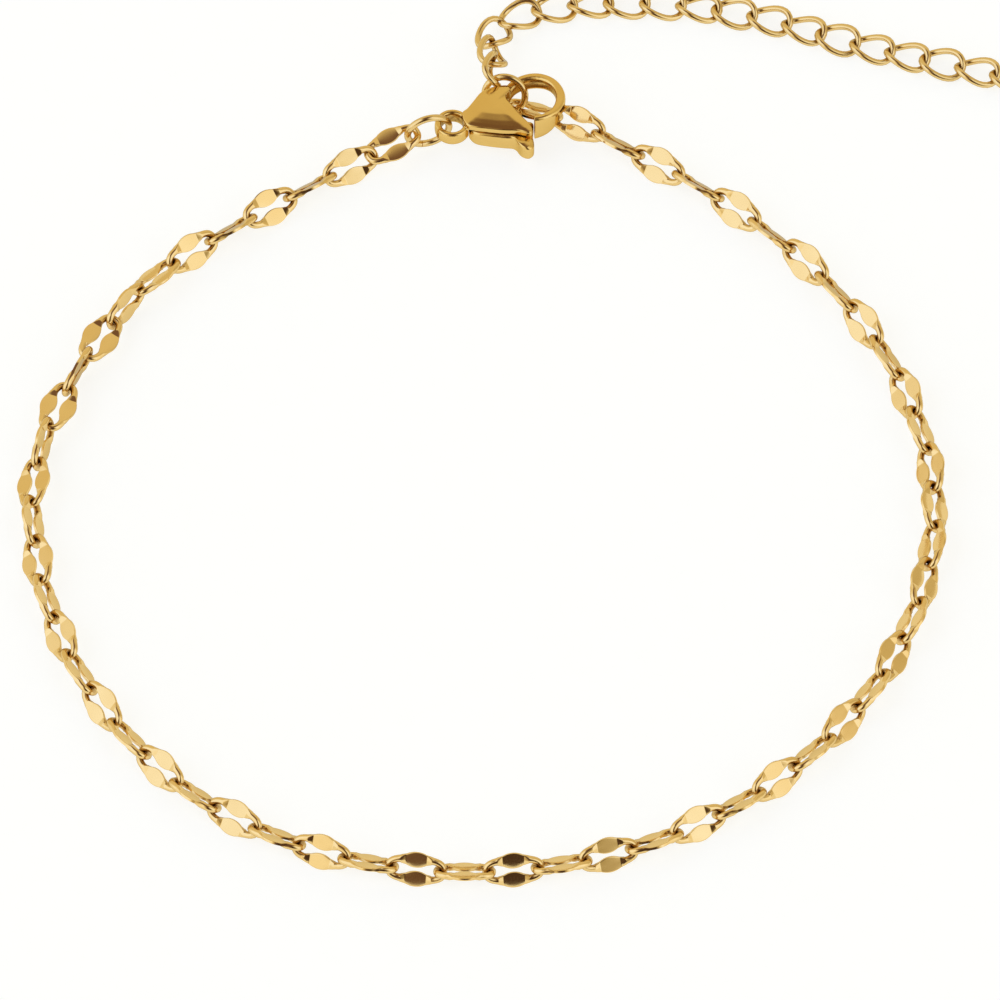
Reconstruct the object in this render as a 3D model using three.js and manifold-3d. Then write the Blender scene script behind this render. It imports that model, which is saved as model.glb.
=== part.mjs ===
// Gold-tone chain bracelet: a loop of pressed "lip" links closed by a lobster clasp, with a curb
// extension chain hanging from the ring that the clasp hooks into. It lies on a table, z = 0.
// Millimetres, +Z up. Needs the npm packages three and manifold-3d.
import * as THREE from "three";
import { mergeVertices } from "three/addons/utils/BufferGeometryUtils.js";
import Module from "manifold-3d";

const wasm = await Module();
wasm.setup();

// ---- driving dimensions -------------------------------------------------------------------

const GOLD = 0xd8ae5c;
const FOOT = { x: 8.766, y: 4.108, z: -0.07 };     // middle of its underside in the layout's own axes
const BEYOND = 1;                           // how far a cutter runs past what it cuts
const SAME_POINT = 1e-5;

// lip link: an oval wire link whose two long sides are pressed flat into petals
const LIP = { count: 57, pitch: 2.69 };      // pitch: from one link's middle to the next one's
// sections of a link's wire, out from its middle and up: drawn round, and pressed into a petal
const ROUND = [[1, 0], [0.31, -0.95], [-0.81, -0.59], [-0.81, 0.59], [0.31, 0.95]];
const PETAL = [[1, 0], [0.8, -1], [-0.95, -1], [-0.95, 1], [0.8, 1]];
// one quarter of its centreline, from the tip to the petal
const LIP_QUARTER = [
  { along: 1.49, across: 0.0, halfWidth: 0.2, halfThick: 0.2, section: ROUND },
  { along: 1.41, across: 0.36, halfWidth: 0.2, halfThick: 0.2, section: ROUND },
  { along: 1.1, across: 0.54, halfWidth: 0.2, halfThick: 0.2, section: ROUND },
  { along: 0.56, across: 0.575, halfWidth: 0.42, halfThick: 0.085, section: PETAL },
];
// the loop seen from above, clockwise from the end ring round to the clasp ring. lean is how far
// the odd links stand up across the chain, in degrees; z is set where the clasp lifts the chain
const LOOP_WAY = [
  { x: 3.04, y: 26.77, lean: 61.5, z: 0.71 },
  { x: 5.52, y: 25.75, lean: 60, z: 0.86 },
  { x: 7.7, y: 24.35, lean: 56 },
  { x: 9.5, y: 23.2, lean: 53 },
  { x: 13.7, y: 20.3, lean: 50 },
  { x: 19.4, y: 14.7, lean: 50 },
  { x: 23.5, y: 7.8, lean: 45 },
  { x: 25.4, y: -0.4, lean: 45 },
  { x: 24.3, y: -8.4, lean: 42 },
  { x: 20.65, y: -15.7, lean: 40 },
  { x: 14.8, y: -21.55, lean: 36 },
  { x: 7.5, y: -25.3, lean: 32 },
  { x: -0.6, y: -26.6, lean: 28 },
  { x: -8.5, y: -25.3, lean: 32 },
  { x: -15.7, y: -21.35, lean: 38 },
  { x: -20.95, y: -15.2, lean: 42 },
  { x: -24.1, y: -7.9, lean: 50 },
  { x: -25.0, y: 0.15, lean: 60 },
  { x: -23.65, y: 5.6, lean: 90 },
  { x: -21.35, y: 10.4, lean: 100 },
  { x: -18.3, y: 14.8, lean: 60 },
  { x: -11.9, y: 19.75, lean: 35 },
  { x: -7.3, y: 22.75, lean: 50, z: 0.8 },
  { x: -4.95, y: 23.95, lean: 96, z: 1.27 },
  { x: -4.4, y: 24.3, lean: 96, z: 1.3 },
];

// curb link: a round-wire oval, twisted so that the links lie flat one behind the other
const CURB = { count: 24, pitch: 2.05, halfLong: 1.2, halfWide: 0.85, twist: 0.26 };
const CURB_WIRE = 0.18;
const CURB_STEPS = 12;
const WIRE_SIDES = 5;
const TAIL_WAY = [
  { x: 0.656, y: 28.567, z: 2.157, roll: 78 },
  { x: 0.7, y: 30.42, z: 1.28, roll: 40 },
  { x: 0.8, y: 32.35, z: 0.58, roll: 0 },
  { x: 2.5, y: 33.9, z: 0.42, roll: 0 },
  { x: 8.0, y: 34.7, z: 0.42, roll: 0 },
  { x: 15.0, y: 33.9, z: 0.42, roll: 0 },
  { x: 22.2, y: 31.5, z: 0.42, roll: 0 },
  { x: 29.1, y: 29.6, z: 0.42, roll: 0 },
  { x: 36.0, y: 27.6, z: 0.42, roll: 0 },
  { x: 47.5, y: 25.2, z: 0.42, roll: 0 },
];

// jump rings: where their middles are, and which way they face
const RING = { wire: 0.2, sides: 6, steps: 16 };
const CLASP_RING = { middle: [-2.93, 24.7, 1.56], facing: [0.263, -0.963, -0.056], radius: 1.21 };
const END_RING = { middle: [1.4, 27.46, 1.32], facing: [-0.1, -0.913, 0.396], radius: 1.14 };

// lobster clasp: drawn in axes of its own, from the eyelet's middle along its length
const CLASP = { x: -1.57, y: 25.0, z: 0.82, turn: 19.7 };
const EYELET = { inner: 0.62, outer: 1.0, bottom: 0.25, top: 1.15 };
// from the neck clockwise: shoulder, corner, step, hook side, tip, lever side
const BODY_OUTLINE = [
  [0.7, 0.5], [1.45, 0.8], [2.2, 1.3], [2.8, 1.42], [3.5, 1.35], [3.85, 1.1], [3.55, 0.5],
  [3.55, -0.1], [3.7, -0.8], [3.9, -1.4], [4.05, -1.95], [3.95, -2.35], [3.2, -2.0],
  [2.4, -1.7], [1.6, -1.3], [0.95, -0.9], [0.55, -0.6],
];
// the outline at each height, drawn in towards the crest on top and the lever's side below
const BODY_LEVELS = [
  { z: -0.45, size: 0.5, x: 2.1, y: -1.1 },
  { z: 0.5, size: 1, x: 0, y: 0 },
  { z: 1.2, size: 1, x: 0, y: 0 },
  { z: 1.6, size: 0.62, x: 2.7, y: -0.2 },
];
const CLAW = { x: 4.8, y: 0, radius: 1.59, width: 0.52, bevel: 0.12 };
const CLAW_ARC = [
  { angle: 150, bottom: 0.2, top: 0.8 },
  { angle: 130, bottom: 0.25, top: 0.8 },
  { angle: 110, bottom: 0.25, top: 0.85 },
  { angle: 85, bottom: 0.3, top: 1.0 },
  { angle: 60, bottom: 0.4, top: 1.15 },
  { angle: 30, bottom: 0.55, top: 1.3 },
  { angle: 0, bottom: 0.65, top: 1.4 },
  { angle: -28, bottom: 0.75, top: 1.45 },
  { angle: -50, bottom: 0.5, top: 1.5 },
  { angle: -75, bottom: 0.0, top: 1.55 },
  { angle: -103, bottom: -0.3, top: 1.6 },
];

// lever: sits in a slot between the body's two cheeks and turns on a pin there
const PIN = { x: 1.3, y: -0.55, radius: 0.22, play: 0.08, root: 0.1, sides: 10 };
const SLOT = { bottom: -0.2, top: 1.05 };
const LEVER = { bottom: -0.12, top: 0.97 };
const SLOT_OUTLINE = [
  [0.7, -0.55], [0.75, -0.9], [1.0, -1.8], [5.0, -4.0], [5.0, -0.35], [4.0, -0.22],
  [2.15, -0.12], [1.3, 0.07], [0.87, -0.12],
];
// from the boss round the pin, along the outside, round the thumb knob to the gate's end
const LEVER_OUTLINE = [
  [1.3, -0.05], [0.95, -0.2], [0.8, -0.55], [0.95, -1.0], [1.6, -1.45], [2.4, -1.87], [3.0, -2.2],
  [3.2, -2.85], [3.5, -3.1], [3.8, -3.0], [3.98, -2.55], [4.03, -2.13], [4.15, -1.89],
  [4.27, -1.63], [4.37, -1.32], [3.9, -1.1], [2.2, -0.5],
];

// ---- helpers ------------------------------------------------------------------------------

const degrees = THREE.MathUtils.degToRad;
const circle = (radius, angle) => new THREE.Vector2(Math.cos(angle), Math.sin(angle)).multiplyScalar(radius);

function goldMesh(name, geometry) {
  const material = new THREE.MeshStandardMaterial({ color: GOLD, metalness: 1, roughness: 0.2 });
  const piece = new THREE.Mesh(geometry, material);
  piece.name = name;
  return piece;
}

// A skin over sections that all have the same number of corners, turning anticlockwise as seen
// against the way they follow one another. It closes on itself, or has flat ends.
function skin(sections, isClosed, cap = []) {
  const sides = sections[0].length;
  const faces = [];
  const rows = isClosed ? sections.length : sections.length - 1;
  for (let row = 0; row < rows; row++) {
    const next = (row + 1) % sections.length;
    for (let side = 0; side < sides; side++) {
      const beside = (side + 1) % sides;
      const [a, b] = [row * sides + side, row * sides + beside];
      const [c, d] = [next * sides + beside, next * sides + side];
      faces.push(a, b, c, a, c, d);
    }
  }
  const last = (sections.length - 1) * sides;
  for (const [a, b, c] of cap) faces.push(c, b, a, last + a, last + b, last + c);
  const geometry = new THREE.BufferGeometry().setFromPoints(sections.flat());
  geometry.setIndex(faces);
  return geometry;
}

// triangles that fill a flat outline
const capOf = (outline) => THREE.ShapeUtils.triangulateShape(outline, []);

// a flat outline at several heights, drawn in towards a point of each level's own
function layered(outline, levels) {
  const corners = outline.map(([x, y]) => new THREE.Vector2(x, y));
  if (THREE.ShapeUtils.isClockWise(corners)) corners.reverse();
  const section = ({ z, size, x, y }) => corners.map((corner) => new THREE.Vector3(
    x + (corner.x - x) * size, y + (corner.y - y) * size, z));
  return skin(levels.map(section), false, capOf(corners));
}

const prism = (outline, bottom, top) =>
  layered(outline, [bottom, top].map((z) => ({ z, size: 1, x: 0, y: 0 })));

function disc(x, y, radius, bottom, top, sides = 16) {
  const round = Array.from({ length: sides }, (_, i) => circle(radius, (i + 0.5) / sides * 2 * Math.PI));
  return prism(round.map((point) => [x + point.x, y + point.y]), bottom, top);
}

function solid(geometry) {
  const bare = geometry.clone();
  bare.deleteAttribute("normal");
  bare.deleteAttribute("uv");
  const merged = mergeVertices(bare, SAME_POINT);
  return new wasm.Manifold(new wasm.Mesh({
    numProp: 3,
    vertProperties: merged.attributes.position.array,
    triVerts: Uint32Array.from(merged.index.array),
  }));
}

function geometryOf(manifold) {
  const { vertProperties, triVerts } = manifold.getMesh();
  const geometry = new THREE.BufferGeometry();
  geometry.setAttribute("position", new THREE.BufferAttribute(vertProperties, 3));
  geometry.setIndex(new THREE.BufferAttribute(triVerts, 1));
  return geometry;
}

const joined = (solids) => solids.reduce((whole, piece) => whole.add(piece));

// ---- chains -------------------------------------------------------------------------------

// The links' places along a way: middles one pitch apart, each turned along the way.
function linkPlaces(way, { count, pitch }, rowValues) {
  const curve = new THREE.CatmullRomCurve3(way.map(rowValues), false, "centripetal");
  const fine = 8000;
  const places = [{ middle: curve.getPoint(0), part: 0 }];
  for (let step = 1; step <= fine && places.length <= count; step++) {
    const point = curve.getPoint(step / fine);
    if (point.distanceTo(places.at(-1).middle) >= pitch) places.push({ middle: point, part: step / fine });
  }
  if (places.length < count) throw new Error(`the way is too short: ${places.length} links`);
  return places.slice(0, count).map((place, i) => {
    const [before, after] = [places[i - 1] ?? place, places[i + 1] ?? place];
    return {
      middle: place.middle,
      row: place.part * (way.length - 1),
      ahead: new THREE.Vector3().subVectors(after.middle, before.middle),
    };
  });
}

// a value from the way's table, between its rows
function alongTable(table, column, row) {
  const first = Math.min(Math.floor(row), table.length - 2);
  return THREE.MathUtils.lerp(table[first][column], table[first + 1][column], row - first);
}

// axes of a link: x along the chain, y across it, leaned up from the table about x
function linkMatrix(place, lean) {
  const x = place.ahead.clone().normalize();
  const level = new THREE.Vector3(-x.y, x.x, 0).normalize();
  const up = new THREE.Vector3().crossVectors(x, level);
  const y = level.multiplyScalar(Math.cos(lean)).addScaledVector(up, Math.sin(lean));
  const z = new THREE.Vector3().crossVectors(x, y);
  return new THREE.Matrix4().makeBasis(x, y, z).setPosition(place.middle);
}

function lipLink() {
  const [tip, ...side] = LIP_QUARTER;
  const back = [...side].reverse();
  const places = [
    tip,
    ...side,
    ...back.map((place) => ({ ...place, along: -place.along })),
    { ...tip, along: -tip.along },
    ...side.map((place) => ({ ...place, along: -place.along, across: -place.across })),
    ...back.map((place) => ({ ...place, across: -place.across })),
  ];
  const sections = places.map((place, i) => {
    const before = places.at(i - 1);
    const after = places[(i + 1) % places.length];
    const way = new THREE.Vector2(after.along - before.along, after.across - before.across).normalize();
    const out = place.section === PETAL ? { x: 0, y: Math.sign(place.across) } : { x: way.y, y: -way.x };
    return place.section.map(([wide, thick]) => new THREE.Vector3(
      place.along + out.x * wide * place.halfWidth,
      place.across + out.y * wide * place.halfWidth,
      thick * place.halfThick));
  });
  return skin(sections, true);
}

// how high a link's axis must be for its petal's rim to touch the table
function restHeight(lean) {
  const { across, halfWidth, halfThick, section } = LIP_QUARTER.at(-1);
  const [s, c] = [Math.abs(Math.sin(lean)), Math.abs(Math.cos(lean))];
  const below = section.map(([wide, thick]) => (across + wide * halfWidth) * s + thick * halfThick * c);
  return Math.max(...below);
}

function lipChain() {
  const heights = LOOP_WAY.map(({ z, lean }) =>
    z ?? Math.max(restHeight(degrees(lean)), restHeight(degrees(lean - 90))));
  const places = linkPlaces(LOOP_WAY, LIP, ({ x, y }, i) => new THREE.Vector3(x, y, heights[i]));
  const link = solid(lipLink());
  return joined(places.map((place, i) => {
    const odd = degrees(alongTable(LOOP_WAY, "lean", place.row));
    return link.transform(linkMatrix(place, i % 2 ? odd : odd - Math.PI / 2).elements);
  }));
}

function curbLink() {
  const { halfLong, halfWide, twist } = CURB;
  const centre = (angle) => new THREE.Vector3(
    halfLong * Math.cos(angle), halfWide * Math.sin(angle), twist * Math.sin(2 * angle));
  const sections = Array.from({ length: CURB_STEPS }, (_, i) => {
    const angle = i / CURB_STEPS * 2 * Math.PI;
    const way = new THREE.Vector3().subVectors(centre(angle + 0.01), centre(angle - 0.01)).normalize();
    const out = new THREE.Vector3(Math.cos(angle) * halfWide, Math.sin(angle) * halfLong, 0);
    out.addScaledVector(way, -out.dot(way)).normalize();
    const up = new THREE.Vector3().crossVectors(way, out);
    return Array.from({ length: WIRE_SIDES }, (_, side) => {
      const corner = circle(CURB_WIRE, (side + 0.5) / WIRE_SIDES * 2 * Math.PI);
      return centre(angle).addScaledVector(out, corner.x).addScaledVector(up, corner.y);
    });
  });
  return skin(sections, true);
}

function extensionChain() {
  const places = linkPlaces(TAIL_WAY, CURB, ({ x, y, z }) => new THREE.Vector3(x, y, z));
  const link = solid(curbLink());
  return joined(places.map((place) =>
    link.transform(linkMatrix(place, degrees(alongTable(TAIL_WAY, "roll", place.row))).elements)));
}

// ---- rings --------------------------------------------------------------------------------

function jumpRing(name, { middle, facing, radius }) {
  const ring = goldMesh(name, new THREE.TorusGeometry(radius, RING.wire, RING.sides, RING.steps));
  ring.position.set(...middle);
  ring.quaternion.setFromUnitVectors(new THREE.Vector3(0, 0, 1), new THREE.Vector3(...facing).normalize());
  return ring;
}

// ---- clasp --------------------------------------------------------------------------------

function claw() {
  const { x, y, radius, width, bevel } = CLAW;
  const half = width / 2;
  const sections = CLAW_ARC.map(({ angle, bottom, top }) => {
    const profile = [
      [half - bevel, bottom], [half, bottom + bevel], [half, top - bevel], [half - bevel, top],
      [bevel - half, top], [-half, top - bevel], [-half, bottom + bevel], [bevel - half, bottom],
    ];
    return profile.map(([out, z]) => {
      const point = circle(radius + out, degrees(angle));
      return new THREE.Vector3(x + point.x, y + point.y, z);
    });
  });
  const flat = Array.from({ length: 8 }, (_, i) => circle(1, (i + 0.5) / 8 * 2 * Math.PI));
  return skin(sections, false, capOf(flat));
}

function claspBody() {
  const { inner, outer, bottom, top } = EYELET;
  const hole = solid(disc(0, 0, inner, bottom - BEYOND, top + BEYOND));
  const slot = solid(prism(SLOT_OUTLINE, SLOT.bottom, SLOT.top));
  const pin = solid(disc(PIN.x, PIN.y, PIN.radius, SLOT.bottom - PIN.root, SLOT.top + PIN.root, PIN.sides));
  const plate = solid(layered(BODY_OUTLINE, BODY_LEVELS));
  const eyelet = solid(disc(0, 0, outer, bottom, top));
  const cheeks = plate.add(eyelet).subtract(slot);
  return goldMesh("clasp_body", geometryOf(joined([cheeks, pin, solid(claw())]).subtract(hole)));
}

function claspLever() {
  const { bottom, top } = LEVER;
  const bore = solid(disc(PIN.x, PIN.y, PIN.radius + PIN.play, bottom - BEYOND, top + BEYOND, PIN.sides));
  return goldMesh("clasp_lever", geometryOf(solid(prism(LEVER_OUTLINE, bottom, top)).subtract(bore)));
}

const clasp = new THREE.Group();
clasp.position.set(CLASP.x, CLASP.y, CLASP.z);
clasp.rotation.z = degrees(CLASP.turn);
clasp.add(claspBody(), claspLever());

const bracelet = new THREE.Group();
bracelet.position.set(-FOOT.x, -FOOT.y, -FOOT.z);
bracelet.add(
  goldMesh("lip_chain", geometryOf(lipChain())),
  goldMesh("extension_chain", geometryOf(extensionChain())),
  jumpRing("clasp_ring", CLASP_RING),
  jumpRing("end_ring", END_RING),
  clasp,
);

export default bracelet;
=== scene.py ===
# %% [markdown]
# # A gold-tone chain bracelet, lying on a table
# The bracelet is a loop of pressed "lip" links, closed by a lobster clasp, with a curb chain that
# trails from the ring the clasp hooks into. The solids of the CAD model give the places and sizes.
# This lesson models each piece again as a jeweller would see it: drawn wire, die-pressed petals,
# a cast and tumbled clasp, all steel plated to a gold tone.

import math
from math import cos, pi, radians, sin

import bmesh
import bpy
from mathutils import Matrix, Vector
from mathutils.bvhtree import BVHTree


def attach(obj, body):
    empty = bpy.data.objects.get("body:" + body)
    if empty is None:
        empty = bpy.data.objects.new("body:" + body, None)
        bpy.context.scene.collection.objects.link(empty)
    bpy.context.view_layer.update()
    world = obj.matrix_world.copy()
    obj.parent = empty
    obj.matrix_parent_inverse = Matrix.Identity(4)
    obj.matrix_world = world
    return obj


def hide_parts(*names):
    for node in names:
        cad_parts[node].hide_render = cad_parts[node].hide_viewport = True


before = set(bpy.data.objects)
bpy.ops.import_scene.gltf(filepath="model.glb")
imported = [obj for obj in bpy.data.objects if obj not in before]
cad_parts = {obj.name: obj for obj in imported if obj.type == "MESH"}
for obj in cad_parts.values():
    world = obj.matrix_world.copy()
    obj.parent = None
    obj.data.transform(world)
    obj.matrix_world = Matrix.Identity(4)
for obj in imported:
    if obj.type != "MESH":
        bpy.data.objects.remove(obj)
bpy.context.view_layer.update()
MM = 0.001

# %% [markdown]
# ## The layout
# Work is in millimetres, in the axes that the loop was laid out in. FOOT is the middle of the
# jewel's underside there, and becomes the origin when a piece is finished and scaled to metres.

# %% Sizes of the layout
FOOT = Vector((8.766, 4.108, -0.07))
UP = Vector((0, 0, 1))
SHARP = radians(32)
LINK_REACH, HOOK_REACH = 1.2, 3.2


def finish_piece(bm, name, material, body, nodes, place=Matrix(), reach=LINK_REACH):
    """Scales a piece to metres in the shared frame, shades it, and hands it to its CAD body."""
    bmesh.ops.recalc_face_normals(bm, faces=bm.faces)
    # How much of each point's space is taken by nearby metal; the material paints shade and adds
    # roughness from it.
    recess = recess_of(bm, reach)
    bmesh.ops.transform(bm, matrix=Matrix.Translation(-FOOT) @ place, verts=bm.verts)
    bmesh.ops.scale(bm, vec=(MM, MM, MM), verts=bm.verts)
    for edge in bm.edges:
        edge.smooth = edge.calc_face_angle(0) < SHARP
    for face in bm.faces:
        face.smooth = True
    mesh = bpy.data.meshes.new(name)
    bm.to_mesh(mesh)
    bm.free()
    mesh.materials.append(material)
    mesh.attributes.new("recess", "FLOAT", "POINT").data.foreach_set("value", recess)
    piece = bpy.data.objects.new(name, mesh)
    bpy.context.collection.objects.link(piece)
    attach(piece, body)
    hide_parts(*nodes)
    triangles = sum(len(face.vertices) - 2 for face in mesh.polygons)
    print(name, "triangles:", triangles,
          "size, mm:", [round(side / MM, 2) for side in piece.dimensions])


# %% [markdown]
# ## Painted shade in the recesses
# Links are polished by tumbling. The media can't get into narrow places, so these stay rougher,
# and their deeper colour is painted shade. A few rays from each point say how much of the space
# in front of it is taken up by metal within reach, and the answer is kept in the mesh as the
# attribute "recess". The reach is about a link's opening, or the hook's for the casting.

# %% Measure the recesses
RAY_TILTS = [0.2, 0.45, 0.65, 0.8, 0.95, 1.05, 1.15, 1.25, 1.35, 0.3]
GOLDEN_TURN = 2.4
RAYS = [Vector((cos(turn * GOLDEN_TURN) * sin(tilt), sin(turn * GOLDEN_TURN) * sin(tilt), cos(tilt)))
        for turn, tilt in enumerate(RAY_TILTS)]
RAY_START = 0.01


def recess_of(bm, reach):
    """The share of rays that meet the piece's own metal, for each vertex."""
    bm.normal_update()
    tree = BVHTree.FromBMesh(bm)
    shares = []
    for vert in bm.verts:
        turn = UP.rotation_difference(vert.normal)
        start = vert.co + vert.normal * RAY_START
        hits = sum(tree.ray_cast(start, turn @ ray, reach)[0] is not None for ray in RAYS)
        shares.append(hits / len(RAYS))
    return shares


# %% [markdown]
# ## Gold plate
# Gold-tone steel is a thin nitride or gold film over polished stainless steel. It is all metal:
# the colour is in the reflection, and only the polish differs from piece to piece. Fine tumbling
# marks about 0.05 mm apart blur the mirror a little, and a slow drift in roughness over a
# millimetre or two keeps two neighbouring links from looking machined from one block.

# %% Material helpers
def linear(code):
    """An sRGB hex colour as linear light."""
    channels = [int(code[i:i + 2], 16) / 255 for i in (1, 3, 5)]
    return [c / 12.92 if c <= 0.04045 else ((c + 0.055) / 1.055) ** 2.4 for c in channels] + [1.0]


def add_node(tree, kind, inputs=None, links=None, **settings):
    """A node with its settings, its input values, and links as {input: output socket}."""
    node = tree.nodes.new(kind)
    for key, value in settings.items():
        setattr(node, key, value)
    for key, value in (inputs or {}).items():
        node.inputs[key].default_value = value
    for key, socket in (links or {}).items():
        tree.links.new(socket, node.inputs[key])
    return node


DRIFTS_A_METRE, MARKS_A_METRE = 600.0, 20000.0
# Recess shares from the first value to the second bring in the painted shade colour and the extra
# roughness.
SHADE_AND_DULL_FROM, SHADE_AND_DULL_TO, DULL_ROUGHNESS = 0.2, 0.8, 0.25
MICRON = 1e-6


def plated_metal(name, pale, deep, recess_shade, edge_on, roughness, drift, mark_depth):
    """Polished plate: colour drifts between pale and deep, roughness by drift, marks in microns.
    Recesses go over to a painted shade colour and are rougher. Faces seen at a slant go to edge_on."""
    material = bpy.data.materials.new(name)
    material.use_nodes = True
    tree = material.node_tree
    shader = tree.nodes["Principled BSDF"]
    shader.inputs["Metallic"].default_value = 1.0
    shader.inputs["Specular Tint"].default_value = linear(edge_on)
    where = add_node(tree, "ShaderNodeTexCoord")
    slow = add_node(tree, "ShaderNodeTexNoise", {"Scale": DRIFTS_A_METRE, "Detail": 2.0},
                    {"Vector": where.outputs["Object"]})
    fine = add_node(tree, "ShaderNodeTexNoise", {"Scale": MARKS_A_METRE, "Detail": 3.0},
                    {"Vector": where.outputs["Object"]})
    colour = add_node(tree, "ShaderNodeMix", links={"Factor": slow.outputs["Fac"]}, data_type="RGBA")
    colour.inputs["A"].default_value = linear(pale)
    colour.inputs["B"].default_value = linear(deep)
    recess = add_node(tree, "ShaderNodeAttribute", attribute_name="recess")
    shade_and_dullness = add_node(tree, "ShaderNodeMapRange",
                          {"From Min": SHADE_AND_DULL_FROM, "From Max": SHADE_AND_DULL_TO},
                          {"Value": recess.outputs["Fac"]})
    # Painted shade: the colour goes over to the dark shade colour where the recess share is high.
    shaded_colour = add_node(tree, "ShaderNodeMix", data_type="RGBA",
                        links={"Factor": shade_and_dullness.outputs["Result"], "A": colour.outputs["Result"]})
    shaded_colour.inputs["B"].default_value = linear(recess_shade)
    polish = add_node(tree, "ShaderNodeMapRange",
                      {"To Min": roughness - drift, "To Max": roughness + drift},
                      {"Value": slow.outputs["Fac"]})
    rougher = add_node(tree, "ShaderNodeMath", {1: DULL_ROUGHNESS},
                       {0: shade_and_dullness.outputs["Result"], 2: polish.outputs["Result"]},
                       operation="MULTIPLY_ADD")
    marks = add_node(tree, "ShaderNodeBump", {"Strength": 0.25, "Distance": mark_depth * MICRON},
                     {"Height": fine.outputs["Fac"]})
    tree.links.new(shaded_colour.outputs["Result"], shader.inputs["Base Color"])
    tree.links.new(rougher.outputs["Value"], shader.inputs["Roughness"])
    tree.links.new(marks.outputs["Normal"], shader.inputs["Normal"])
    return material


# %% The three finishes
# Pressed faces take the die's polish, drawn wire is a little rougher, and a casting rougher still.
# The third colour of each is the painted shade that its recesses go over to.
pressed_plate = plated_metal("plated_pressed_steel", pale="#EFD08E", deep="#E6C27C", recess_shade="#8A5A22",
                             edge_on="#CFC8BA", roughness=0.1, drift=0.03, mark_depth=2.0)
drawn_plate = plated_metal("plated_drawn_wire", pale="#EBCE8F", deep="#E0BD77", recess_shade="#7E5220",
                           edge_on="#CFC8BA", roughness=0.14, drift=0.04, mark_depth=3.0)
cast_plate = plated_metal("plated_cast_steel", pale="#E9C677", deep="#DEB565", recess_shade="#6A3F10",
                          edge_on="#DDD0B4", roughness=0.17, drift=0.04, mark_depth=4.0)
print("materials:", [m.name for m in bpy.data.materials])

# %% [markdown]
# ## Wire, swept and skinned
# A wire is a row of loops, one for each station along its way, bridged each to the next. A loop
# starts as a unit circle and is squared towards a superellipse: power 2 keeps the drawn round
# section, and a high power gives the flat section that a press leaves, with its rims rounded.

# %% Sweeping helpers
def squared(value, power):
    """A coordinate of the unit circle, moved out to the superellipse."""
    return math.copysign(abs(value) ** (2 / power), value) if abs(value) > 1e-9 else 0.0


def station(bm, centre, out, up, half_out, half_up, power=2.0, sides=14):
    """One loop of a wire, across the way, out and up being its two half sizes' directions."""
    loop = bmesh.ops.create_circle(bm, segments=sides, radius=1.0)["verts"]
    for vert in loop:
        vert.co = (squared(vert.co.x, power) * half_out, squared(vert.co.y, power) * half_up, 0)
    turn = Matrix((out, up, out.cross(up))).transposed().to_4x4()
    bmesh.ops.transform(bm, matrix=Matrix.Translation(centre) @ turn, verts=loop)
    return [edge for edge in bm.edges if edge.verts[0] in loop and edge.verts[1] in loop]


def bridged(bm, loops, closed):
    """Skins a row of loops; an open row gets flat ends."""
    pairs = list(zip(loops, loops[1:])) + ([(loops[-1], loops[0])] if closed else [])
    for one, other in pairs:
        bmesh.ops.bridge_loops(bm, edges=one + other)
    if not closed:
        for end in (loops[0], loops[-1]):
            bmesh.ops.edgeloop_fill(bm, edges=end)


def repeated(link, places):
    """One bmesh with a copy of the link at each place."""
    pattern = bpy.data.meshes.new("pattern")
    link.to_mesh(pattern)
    link.free()
    chain = bmesh.new()
    for place in places:
        already = len(chain.verts)
        chain.from_mesh(pattern)
        chain.verts.ensure_lookup_table()
        bmesh.ops.transform(chain, matrix=place, verts=chain.verts[already:])
    bpy.data.meshes.remove(pattern)
    return chain


# %% [markdown]
# ## Where the links lie
# The way of each chain is a centripetal Catmull-Rom curve through a few points. Links sit on it
# one pitch apart, which is what a pulled-out chain does. Each link's x axis runs along the chain,
# and its y axis leans up from the table by the table's angle, because a chain of crossed links
# can't lie flat on both: odd and even links tip over to opposite sides.

# %% The curve and the places along it
def curve_point(points, part):
    """A point of the open centripetal Catmull-Rom curve, part going from 0 to 1."""
    spans = len(points) - 1
    first = min(int(spans * part), spans - 1)
    t = spans * part - first
    p1, p2 = points[first], points[first + 1]
    p0 = points[first - 1] if first else 2 * p1 - p2
    p3 = points[first + 2] if first + 2 <= spans else 2 * p2 - p1
    d0, d1, d2 = (max((b - a).length, 1e-6) ** 0.5 for a, b in ((p0, p1), (p1, p2), (p2, p3)))
    start = ((p1 - p0) / d0 - (p2 - p0) / (d0 + d1) + (p2 - p1) / d1) * d1
    stop = ((p2 - p1) / d1 - (p3 - p1) / (d1 + d2) + (p3 - p2) / d2) * d1
    return (p1 + start * t + (3 * (p2 - p1) - 2 * start - stop) * t ** 2
            + (2 * (p1 - p2) + start + stop) * t ** 3)


def middles_along(points, count, pitch, fine=8000):
    """The links' middles, and how far along the curve each one is."""
    found = [(curve_point(points, 0), 0.0)]
    for step in range(1, fine + 1):
        point = curve_point(points, step / fine)
        if (point - found[-1][0]).length >= pitch:
            found.append((point, step / fine))
            if len(found) == count:
                break
    return found


def table_value(values, part):
    """A column's value part of the way down the table."""
    row = part * (len(values) - 1)
    first = min(int(row), len(values) - 2)
    return values[first] + (values[first + 1] - values[first]) * (row - first)


def link_place(middle, ahead, lean):
    """A link's axes: x along the chain, y across it, leaned up by an angle."""
    x = ahead.normalized()
    level = Vector((-x.y, x.x, 0)).normalized()
    y = level * cos(lean) + x.cross(level) * sin(lean)
    return Matrix.Translation(middle) @ Matrix((x, y, x.cross(y))).transposed().to_4x4()


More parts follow.
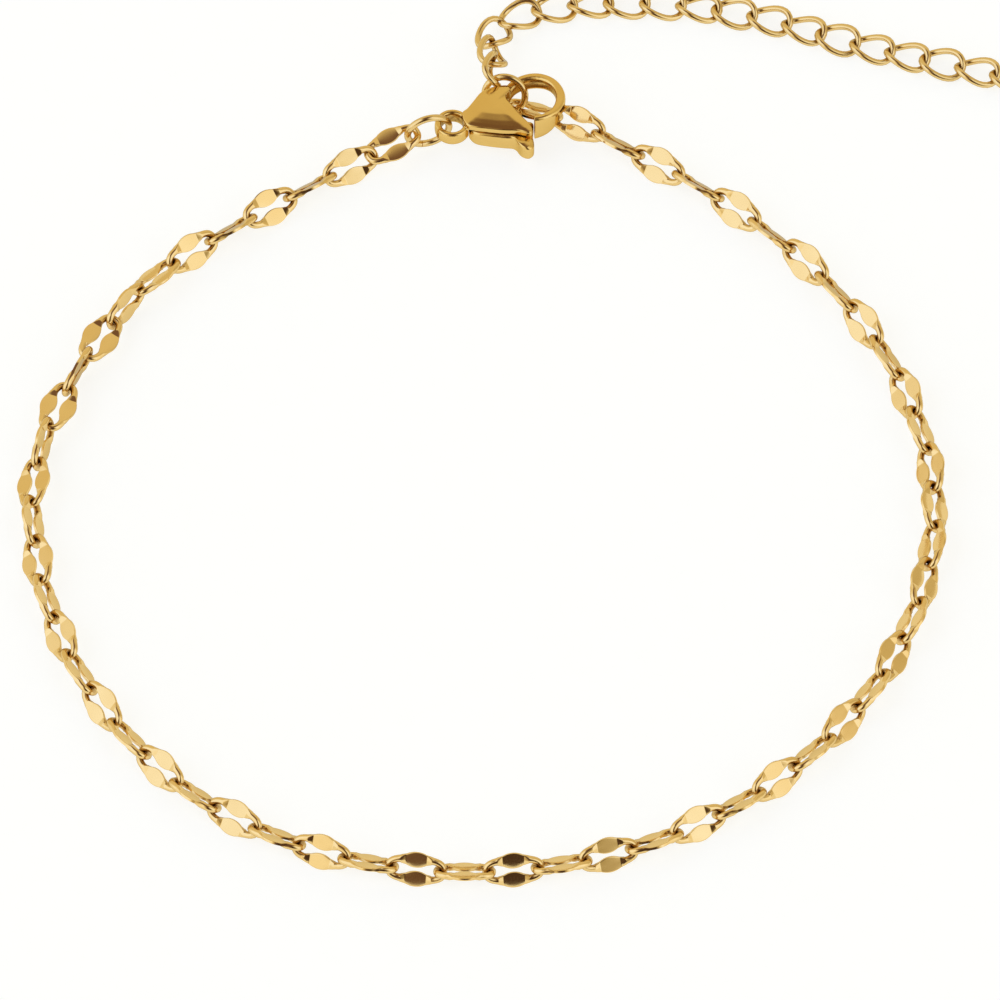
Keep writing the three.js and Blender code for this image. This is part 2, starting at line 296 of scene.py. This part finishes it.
def places_along(points, leans, count, pitch):
    """A place for every link; leans gives each link's angle from its number and its part."""
    found = middles_along(points, count, pitch)
    middles = [middle for middle, part in found]
    places = []
    for i, (middle, part) in enumerate(found):
        ahead = middles[min(i + 1, count - 1)] - middles[max(i - 1, 0)]
        places.append(link_place(middle, ahead, leans(i, part)))
    print("links:", len(places), "first at", middles[0][:], "last at", middles[-1][:])
    return places


# %% [markdown]
# ## The lip link
# A lip link starts as an oval of 0.4 mm wire. A press then flattens each long side into a petal
# 0.17 mm thick. The metal that is squeezed out bulges both rims, so a petal is a lens 0.9 mm wide
# in its middle, cut off straight where the press ends, with a sloping facet up to the round wire.
# The link is the same in all four quarters, so one quarter is skinned and mirrored twice.

# %% One lip link
WIRE = 0.2
PRESSED_FROM = 6
LIP_STATIONS = [
    # along, across, half width, half thickness, power
    (1.545, 0.0, WIRE, WIRE, 2.0),
    (1.535, 0.14, WIRE, WIRE, 2.0),
    (1.49, 0.27, WIRE, WIRE, 2.0),
    (1.41, 0.38, WIRE, WIRE, 2.0),
    (1.29, 0.465, WIRE, WIRE, 2.0),
    (1.15, 0.525, WIRE, WIRE, 2.0),
    (1.02, 0.56, WIRE, WIRE, 2.1),
    (0.9, 0.578, 0.205, 0.198, 2.6),
    (0.85, 0.582, 0.215, 0.187, 4.5),
    (0.62, 0.585, 0.29, 0.094, 10.0),
    (0.59, 0.585, 0.3, 0.085, 12.0),
    (0.56, 0.585, 0.31, 0.085, 12.0),
    (0.45, 0.583, 0.365, 0.085, 12.0),
    (0.3, 0.58, 0.42, 0.085, 12.0),
    (0.15, 0.578, 0.45, 0.085, 12.0),
    (0.0, 0.578, 0.46, 0.085, 12.0),
]


def lip_link():
    """A quarter of the link, mirrored twice. Pressed stations stay square to the link's length."""
    bm = bmesh.new()
    loops = []
    for i, (along, across, half_out, half_up, power) in enumerate(LIP_STATIONS):
        before = LIP_STATIONS[i - 1] if i else (along, -LIP_STATIONS[1][1])
        last = i + 1 == len(LIP_STATIONS)
        after = (-LIP_STATIONS[i - 1][0], across) if last else LIP_STATIONS[i + 1]
        way = Vector((after[0] - before[0], after[1] - before[1], 0)).normalized()
        out = Vector((0, 1, 0)) if power > PRESSED_FROM else way.cross(UP)
        if not i:
            out = Vector((1, 0, 0))
        loops.append(station(bm, Vector((along, across, 0)), out, UP, half_out, half_up, power, 16))
    for one, other in zip(loops, loops[1:]):
        bmesh.ops.bridge_loops(bm, edges=one + other)
    for axis in ("X", "Y"):
        bmesh.ops.mirror(bm, geom=bm.verts[:] + bm.edges[:] + bm.faces[:], axis=axis, merge_dist=1e-4)
    return bm


# %% [markdown]
# ## The lip chain
# Fifty-seven links follow the loop from the end ring, round the right side, the near side and the
# left side, to the clasp's ring. Neighbours hold each other at about a right angle, but loosely:
# where the clasp pulls on the chain, every other link has rolled on a few degrees more.

# %% The loop
LOOP_WAY = [
    # x, y, lean, and z where the clasp lifts the chain
    (3.04, 26.77, 61.5, 0.71), (5.52, 25.75, 60, 0.86), (7.7, 24.35, 56, None),
    (9.5, 23.2, 53, None), (13.7, 20.3, 50, None), (19.4, 14.7, 50, None),
    (23.5, 7.8, 45, None), (25.4, -0.4, 45, None), (24.3, -8.4, 42, None),
    (20.65, -15.7, 40, None), (14.8, -21.55, 36, None), (7.5, -25.3, 32, None),
    (-0.6, -26.6, 28, None), (-8.5, -25.3, 32, None), (-15.7, -21.35, 38, None),
    (-20.95, -15.2, 42, None), (-24.1, -7.9, 50, None), (-25.0, 0.15, 60, None),
    (-23.65, 5.6, 90, None), (-21.35, 10.4, 100, None), (-18.3, 14.8, 60, None),
    (-11.9, 19.75, 35, None), (-7.3, 22.75, 50, 0.8), (-4.95, 23.95, 96, 1.27),
    (-4.4, 24.3, 96, 1.3),
]
LIP_COUNT, LIP_PITCH = 57, 2.69
PETAL_RIM = [
    # across and above the link's middle: corners of a petal's section
    (0.995, 0.0), (0.911, 0.085), (0.176, 0.085),
]


def rest_height(lean):
    """How high a link's middle is when a petal's rim touches the table."""
    reach = [across * abs(sin(lean)) + thick * abs(cos(lean)) for across, thick in PETAL_RIM]
    return max(reach)


def loop_height(lean, given):
    """The row's own height, or else that at which both a link and its neighbour rest."""
    odd = radians(lean)
    return given if given is not None else max(rest_height(odd), rest_height(odd - pi / 2))


ROLLED_ON = [
    # how many degrees the even links have rolled on, at the first rows of LOOP_WAY
    0, 9, 9, 9, 9, 9, 4,
]


def loop_lean(i, part):
    """A link's lean: the loop's own for odd links, and a right angle or more less for even ones."""
    lean = table_value(loop_leans, part)
    return lean if i % 2 else lean - pi / 2 - table_value(rolled_on, part)


loop_points = [Vector((x, y, loop_height(lean, z))) for x, y, lean, z in LOOP_WAY]
loop_leans = [radians(lean) for x, y, lean, z in LOOP_WAY]
rolled_on = [radians(roll) for roll in ROLLED_ON + [0] * (len(LOOP_WAY) - len(ROLLED_ON))]
lip_places = places_along(loop_points, loop_lean, LIP_COUNT, LIP_PITCH)
finish_piece(repeated(lip_link(), lip_places), "lip_chain_links", pressed_plate,
             "bracelet", ["lip_chain"])

# %% [markdown]
# ## The extension chain
# The extension is a plain curb chain: ovals of 0.36 mm wire, each given a slight twist so that
# they lie nearly flat one behind the other. A loose chain never lies quite even, so each free link
# is rolled a few degrees of its own.

# %% Curb links and their way
CURB = {"count": 24, "pitch": 2.05, "half_long": 1.2, "half_wide": 0.85, "twist": 0.26, "wire": 0.18}
TAIL_WAY = [
    # x, y, z, roll
    (0.656, 28.567, 2.157, 78), (0.7, 30.42, 1.28, 40), (0.8, 32.35, 0.58, 0),
    (2.5, 33.9, 0.42, 0), (8.0, 34.7, 0.42, 0), (15.0, 33.9, 0.42, 0), (22.2, 31.5, 0.42, 0),
    (29.1, 29.6, 0.42, 0), (36.0, 27.6, 0.42, 0), (47.5, 25.2, 0.42, 0),
]
PLAY, PLAY_STEP, FIRST_FREE = radians(8), 2.2, 4
SLIGHT = 0.01


def curb_centre(angle):
    """The middle of the wire: an oval, twisted up and down twice round."""
    return Vector((CURB["half_long"] * cos(angle), CURB["half_wide"] * sin(angle),
                   CURB["twist"] * sin(2 * angle)))


def curb_link(steps=28):
    """One closed wire link."""
    bm = bmesh.new()
    loops = []
    for i in range(steps):
        angle = i / steps * 2 * pi
        way = (curb_centre(angle + SLIGHT) - curb_centre(angle - SLIGHT)).normalized()
        out = Vector((cos(angle) * CURB["half_wide"], sin(angle) * CURB["half_long"], 0))
        out = (out - way * out.dot(way)).normalized()
        loops.append(station(bm, curb_centre(angle), out, way.cross(out),
                             CURB["wire"], CURB["wire"], sides=12))
    bridged(bm, loops, closed=True)
    return bm


def tail_roll(i, part):
    """A link's roll: the way's own, and a little play that differs from link to link."""
    play = PLAY * sin(PLAY_STEP * i) if i >= FIRST_FREE else 0.0
    return table_value(tail_rolls, part) + play


tail_points = [Vector(row[:3]) for row in TAIL_WAY]
tail_rolls = [radians(row[3]) for row in TAIL_WAY]
curb_places = places_along(tail_points, tail_roll, CURB["count"], CURB["pitch"])
finish_piece(repeated(curb_link(), curb_places), "curb_chain_links", drawn_plate,
             "bracelet", ["extension_chain"])

# %% [markdown]
# ## Jump rings
# A jump ring is one turn of wire cut from a coil and bent shut, so it is spun just short of a
# full turn and its two ends are filled flat. The seam is where the ring hangs lowest.

# %% The two rings
RINGS = [
    # name, CAD node, radius, middle, facing, direction of the seam
    ("clasp_ring_wire", "clasp_ring", 1.21,
     (-2.93, 24.7, 1.56), (0.263, -0.963, -0.056), (-0.3, -0.1, -0.9)),
    ("end_ring_wire", "end_ring", 1.14,
     (1.4, 27.46, 1.32), (-0.1, -0.913, 0.396), (-0.2, -0.3, -0.9)),
]
SEAM = radians(2.0)

for name, node, radius, middle, facing, seam in RINGS:
    turn = UP.rotation_difference(Vector(facing).normalized()).to_matrix()
    towards = turn.transposed() @ Vector(seam)
    start = Matrix.Rotation(math.atan2(towards.y, towards.x) + SEAM / 2, 3, "Z")
    bm = bmesh.new()
    loop = station(bm, start @ Vector((radius, 0, 0)), start @ Vector((1, 0, 0)), UP,
                   WIRE, WIRE, sides=16)
    bmesh.ops.spin(bm, geom=loop, cent=(0, 0, 0), axis=(0, 0, 1), angle=2 * pi - SEAM, steps=64)
    bmesh.ops.holes_fill(bm, edges=[edge for edge in bm.edges if edge.is_boundary])
    finish_piece(bm, name, drawn_plate, "bracelet", [node],
                 Matrix.Translation(Vector(middle)) @ turn.to_4x4())

# %% [markdown]
# ## The lobster clasp
# The clasp is a lost-wax casting: an eyelet, a domed body and a claw in one piece, with every
# corner softened by tumbling. The forms are modelled as separate closed shells that run into each
# other, welded by a fine voxel remesh, and then smoothed, which rounds corners as tumbling does.
# Its own axes start in the eyelet's middle, with x along the body to the hook.

# %% The clasp's own axes and the casting's helpers
CLASP_EYELET = Vector((-1.57, 25.0, 0.82))
CLASP_TURN = radians(19.7)
VOXEL = 0.035
clasp_place = Matrix.Translation(CLASP_EYELET) @ Matrix.Rotation(CLASP_TURN, 4, "Z")


def outline_face(bm, outline, z):
    """A flat face with the outline's corners."""
    made = bmesh.ops.create_circle(bm, cap_ends=True, segments=len(outline), radius=1.0)["verts"]
    for vert, (u, v) in zip(made, outline):
        vert.co = (u, v, z)
    return made[0].link_faces[0]


def rounded(outline, steps=4):
    """The closed outline with its corners run through by a curve."""
    points = [Vector((u, v, 0)) for u, v in outline]
    points = points[-2:] + points + points[:3]
    spans = len(points) - 1
    first, last = 2, len(outline) + 2
    total = (last - first) * steps
    return [curve_point(points, (first + i / steps) / spans).to_2d() for i in range(total)]


def domed_shell(bm, outline, middle, *sides):
    """Extrudes an outline from its middle height, once for each side given. A side is its levels of
    (height, size), and the crest that they are drawn in towards."""
    for levels, crest in sides:
        base = outline_face(bm, outline, middle)
        top, at, size = base, middle, 1.0
        for height, next_size in levels:
            lifted = bmesh.ops.extrude_face_region(bm, geom=[top])["geom"]
            bmesh.ops.delete(bm, geom=[top], context="FACES_ONLY")
            top = next(item for item in lifted if isinstance(item, bmesh.types.BMFace))
            ratio = next_size / size
            bmesh.ops.translate(bm, vec=(0, 0, height - at), verts=top.verts)
            bmesh.ops.scale(bm, vec=(ratio, ratio, 1), verts=top.verts,
                            space=Matrix.Translation((-crest[0], -crest[1], 0)))
            at, size = height, next_size
    bmesh.ops.remove_doubles(bm, verts=bm.verts, dist=1e-4)


def as_object(bm, name):
    """A passing object with the bmesh's faces, for a modifier to work on."""
    mesh = bpy.data.meshes.new(name)
    bmesh.ops.recalc_face_normals(bm, faces=bm.faces)
    bm.to_mesh(mesh)
    bm.free()
    made = bpy.data.objects.new(name, mesh)
    bpy.context.collection.objects.link(made)
    return made


def applied(obj):
    """The object's mesh with its modifiers, as a bmesh, and the object gone."""
    graph = bpy.context.evaluated_depsgraph_get()
    mesh = bpy.data.meshes.new_from_object(obj.evaluated_get(graph))
    bm = bmesh.new()
    bm.from_mesh(mesh)
    bpy.data.meshes.remove(mesh)
    bpy.data.objects.remove(obj)
    return bm


def welded(bm, rounds):
    """One skin round all the shells, tumbled smooth in a number of rounds."""
    shell = as_object(bm, "shells")
    remesh = shell.modifiers.new("weld", "REMESH")
    remesh.mode = "VOXEL"
    remesh.voxel_size = VOXEL
    bm = applied(shell)
    for _ in range(rounds):
        bmesh.ops.smooth_vert(bm, verts=bm.verts, factor=0.5,
                              use_axis_x=True, use_axis_y=True, use_axis_z=True)
    return bm


def cut(bm, cutter_bm):
    """The piece with the cutter's solid taken out of it."""
    piece = as_object(bm, "piece")
    cutter = as_object(cutter_bm, "cutter")
    boolean = piece.modifiers.new("cut", "BOOLEAN")
    boolean.operation = "DIFFERENCE"
    boolean.object = cutter
    boolean.solver = "EXACT"
    boolean.use_self = True
    result = applied(piece)
    bpy.data.objects.remove(cutter)
    return result


def prism(outline, bottom, top):
    """A straight-sided solid on an outline."""
    bm = bmesh.new()
    base = outline_face(bm, outline, bottom)
    lifted = bmesh.ops.extrude_face_region(bm, geom=[base])["geom"]
    verts = [item for item in lifted if isinstance(item, bmesh.types.BMVert)]
    bmesh.ops.translate(bm, vec=(0, 0, top - bottom), verts=verts)
    return bm


# %% [markdown]
# ## The casting
# The body is a shield-shaped dome. Its top closes to a low crest near the broad end, and its
# belly is drawn in towards the lever's side, which leaves room for the links that pass below the
# other side. The eyelet is a flat ring. The claw is a bar that leaves the body low at its far
# shoulder, swings round the hook's mouth and grows taller towards its tip, where the gate meets
# it. Each level of a dome is the outline again, a little smaller, so it closes as a cushion does.

# %% Body, eyelet and claw
BODY_OUTLINE = [
    (0.97, 0.42), (1.45, 0.76), (2.19, 1.3), (2.78, 1.42), (3.48, 1.35), (3.81, 1.2), (3.8, 0.9),
    (3.4, 0.53), (3.49, -0.03), (3.6, -0.5), (3.83, -1.23), (4.04, -1.88), (3.99, -2.28),
    (3.8, -2.4), (3.19, -2.02), (2.39, -1.69), (1.62, -1.3), (0.94, -0.93), (0.6, -0.6), (0.7, 0.3),
]
BODY_MIDDLE = 0.8
BODY_TOP = ([(1.38, 1.0), (1.44, 0.97), (1.5, 0.86), (1.56, 0.68), (1.62, 0.42), (1.64, 0.2)],
            (2.5, 0.15))
BODY_BELLY = ([(0.5, 1.0), (0.3, 0.91), (0.0, 0.75), (-0.25, 0.62), (-0.4, 0.5), (-0.45, 0.36)],
              (2.1, -1.1))
EYELET = {"radius": 0.81, "half_out": 0.2, "half_up": 0.45, "middle": 0.7, "power": 3.0}
HOOK_MIDDLE = Vector((4.8, 0, 0))
CLAW = {"radius": 1.6, "half_out": 0.28, "power": 3.0, "steps": 40, "sides": 20}
CLAW_ARC = [
    # angle, bottom, top
    (156, 0.2, 0.85), (150, 0.2, 0.9), (130, 0.2, 1.05), (110, 0.2, 1.15), (85, 0.2, 1.25),
    (60, 0.3, 1.35), (30, 0.5, 1.42), (0, 0.65, 1.45), (-28, 0.75, 1.5), (-50, 0.5, 1.53),
    (-75, 0.0, 1.57), (-106, -0.3, 1.6),
]


def claw_stations(bm):
    """The claw's sections, round the hook's middle from the body's shoulder to the tip."""
    rows = [Vector(row) for row in CLAW_ARC]
    loops = []
    for i in range(CLAW["steps"] + 1):
        angle, bottom, top = curve_point(rows, i / CLAW["steps"])
        out = Vector((cos(radians(angle)), sin(radians(angle)), 0))
        centre = HOOK_MIDDLE + out * CLAW["radius"] + UP * (bottom + top) / 2
        loops.append(station(bm, centre, out, UP, CLAW["half_out"], (top - bottom) / 2,
                             CLAW["power"], CLAW["sides"]))
    return loops


casting = bmesh.new()
domed_shell(casting, rounded(BODY_OUTLINE), BODY_MIDDLE, BODY_TOP, BODY_BELLY)
eyelet = station(casting, Vector((EYELET["radius"], 0, EYELET["middle"])), Vector((1, 0, 0)), UP,
                 EYELET["half_out"], EYELET["half_up"], EYELET["power"], 16)
bmesh.ops.spin(casting, geom=eyelet, cent=(0, 0, 0), axis=(0, 0, 1), angle=2 * pi, steps=48,
               use_merge=True)
print("body and eyelet, faces:", len(casting.faces))

# %% [markdown]
# ## Slot and gate
# The lever sits in a slot sawn into the body's side, between two cheeks, on a pin. Its outside
# ends in a thumb knob, and its inner end is the gate that closes the hook's mouth.

# %% Cut the slot, and make the lever
SLOT_BOTTOM, SLOT_TOP = -0.2, 1.05
LEVER_MIDDLE, LEVER_CREST = 0.425, (2.6, -1.3)
LEVER_UPPER = [(0.7, 1.0), (0.82, 0.97), (0.91, 0.89), (0.97, 0.72)]
LEVER_LOWER = [(0.05, 1.0), (-0.07, 0.97), (-0.12, 0.88)]
CASTING_ROUNDS, LEVER_ROUNDS = 4, 3
SLOT_OUTLINE = [
    (0.7, -0.55), (0.75, -0.9), (1.0, -1.8), (5.0, -4.0), (5.0, -0.35), (4.0, -0.22),
    (2.15, -0.12), (1.3, 0.07), (0.87, -0.12),
]
LEVER_OUTLINE = [
    (1.3, -0.05), (0.95, -0.2), (0.8, -0.55), (0.95, -1.0), (1.6, -1.45), (2.4, -1.87),
    (3.0, -2.2), (3.2, -2.85), (3.5, -3.1), (3.8, -3.0), (3.98, -2.55), (4.03, -2.13),
    (4.15, -1.89), (4.27, -1.63), (4.37, -1.32), (3.9, -1.1), (2.2, -0.5),
]
casting = cut(casting, prism(SLOT_OUTLINE, SLOT_BOTTOM, SLOT_TOP))
bridged(casting, claw_stations(casting), closed=False)
finish_piece(welded(casting, CASTING_ROUNDS), "clasp_casting", cast_plate, "bracelet",
             ["clasp_body"], clasp_place, reach=HOOK_REACH)

lever = bmesh.new()
domed_shell(lever, rounded(LEVER_OUTLINE), LEVER_MIDDLE,
            (LEVER_UPPER, LEVER_CREST), (LEVER_LOWER, LEVER_CREST))
finish_piece(welded(lever, LEVER_ROUNDS), "clasp_trigger", cast_plate, "lever", ["clasp_lever"],
             clasp_place, reach=LINK_REACH)

# %% [markdown]
# ## The table and the studio
# Polished metal shows its surroundings and little else, so the room is drawn as a table of how
# bright it is, and in which colour, in each direction of the compass. Two daylight softboxes
# stand to the front left and right, and the walls behind are dimmer and cream, so that highlights
# come out pale and the rest a warm yellow. A dark gap at the front, where the camera stands, and
# a dark ceiling give the reddish brown of the faces that are turned to them. The table is lit
# from below, as a product table is, so that it stays white and shadows stay faint.

# %% Table
TABLE_SIDE, TABLE_DROP = 4.0, 0.00005
PAPER_GLOW = 0.776
bpy.ops.mesh.primitive_plane_add(size=TABLE_SIDE, location=(0, 0, -TABLE_DROP))
table = bpy.context.object
table.name = "table_top"
paper = bpy.data.materials.new("white_paper")
paper.use_nodes = True
paper_shader = paper.node_tree.nodes["Principled BSDF"]
paper_shader.inputs["Roughness"].default_value = 0.9
paper_shader.inputs["Specular IOR Level"].default_value = 0.1
paper_shader.inputs["Emission Color"].default_value = linear("#FDFFFE")
paper_shader.inputs["Emission Strength"].default_value = PAPER_GLOW
grain = add_node(paper.node_tree, "ShaderNodeTexNoise", {"Scale": 900.0, "Detail": 2.0},
                 {"Vector": add_node(paper.node_tree, "ShaderNodeTexCoord").outputs["Object"]})
tone = add_node(paper.node_tree, "ShaderNodeMix", links={"Factor": grain.outputs["Fac"]},
                data_type="RGBA")
tone.inputs["A"].default_value = linear("#9C9C9C")
tone.inputs["B"].default_value = linear("#989898")
paper.node_tree.links.new(tone.outputs["Result"], paper_shader.inputs["Base Color"])
table.data.materials.append(paper)

# %% Camera
VIEW_TILT = math.asin(0.8)
VIEW_WIDTH = 0.05599
CAMERA_FAR = 1.5
aim = Vector((1.12, -0.1575, -0.07))
target = (aim - FOOT) * MM
away = Vector((0, -cos(VIEW_TILT), sin(VIEW_TILT)))
camera_data = bpy.data.cameras.new("camera")
camera_data.sensor_width = 36.0
camera_data.lens = camera_data.sensor_width * CAMERA_FAR / VIEW_WIDTH
camera_data.clip_start, camera_data.clip_end = 0.05, 20.0
camera = bpy.data.objects.new("camera", camera_data)
bpy.context.collection.objects.link(camera)
camera.location = target + away * CAMERA_FAR
camera.rotation_euler = (-away).to_track_quat("-Z", "Y").to_euler()
bpy.context.scene.camera = camera
bpy.context.scene.view_settings.view_transform = "Standard"
print("camera at", camera.location[:], "lens", camera_data.lens)

# %% Room and light
DAYLIGHT, WHITE, CREAM, BROWN = "#DCE5FF", "#FFFFFF", "#FFF1CB", "#FFCBB3"
WALLS = [
    # compass direction in degrees, 0 behind the bracelet and 90 to its right; brightness; colour
    (-180, 0.07, BROWN), (180, 0.07, BROWN), (-168, 0.16, BROWN), (-155, 0.75, CREAM),
    (-148, 1.15, WHITE), (-127, 1.62, DAYLIGHT), (-93, 1.65, DAYLIGHT), (-72, 1.02, WHITE),
    (-52, 0.85, CREAM), (-20, 0.85, CREAM), (20, 0.85, CREAM), (52, 0.75, CREAM),
    (75, 0.66, CREAM), (92, 0.8, CREAM), (108, 1.15, WHITE), (133, 1.68, DAYLIGHT),
    (144, 1.0, WHITE), (154, 0.5, CREAM), (166, 0.08, BROWN),
]
BRIGHTEST, CEILING = 1.7, 0.2
DOME_FROM, DOME_TO = radians(60), radians(74)


def painted(brightness, code):
    """A wall's colour, as a share of the brightest wall."""
    return [channel * brightness / BRIGHTEST for channel in linear(code)[:3]] + [1.0]


room = bpy.data.worlds.new("white_room")
room.use_nodes = True
bpy.context.scene.world = room
tree = room.node_tree
background = tree.nodes["Background"]
direction = add_node(tree, "ShaderNodeTexCoord")
split = add_node(tree, "ShaderNodeSeparateXYZ", links={0: direction.outputs["Generated"]})
bearing = add_node(tree, "ShaderNodeMath", operation="ARCTAN2",
                   links={0: split.outputs["X"], 1: split.outputs["Y"]})
round_way = add_node(tree, "ShaderNodeMapRange", {"From Min": -pi, "From Max": pi},
                     {"Value": bearing.outputs["Value"]})
walls = add_node(tree, "ShaderNodeValToRGB", links={"Fac": round_way.outputs["Result"]})
ramp = walls.color_ramp
ramp.interpolation = "EASE"
for number, (compass, brightness, code) in enumerate(WALLS):
    place = (compass + 180) / 360
    stop = ramp.elements[number] if number < 2 else ramp.elements.new(place)
    stop.position = place
    stop.color = painted(brightness, code)
overhead = add_node(tree, "ShaderNodeMapRange", {"From Min": sin(DOME_FROM), "From Max": sin(DOME_TO)},
                    {"Value": split.outputs["Z"]}, interpolation_type="SMOOTHSTEP")
dome = add_node(tree, "ShaderNodeMix", links={"Factor": overhead.outputs["Result"],
                "A": walls.outputs["Color"]}, data_type="RGBA")
dome.inputs["B"].default_value = painted(CEILING, BROWN)
tree.links.new(dome.outputs["Result"], background.inputs["Color"])
background.inputs["Strength"].default_value = BRIGHTEST
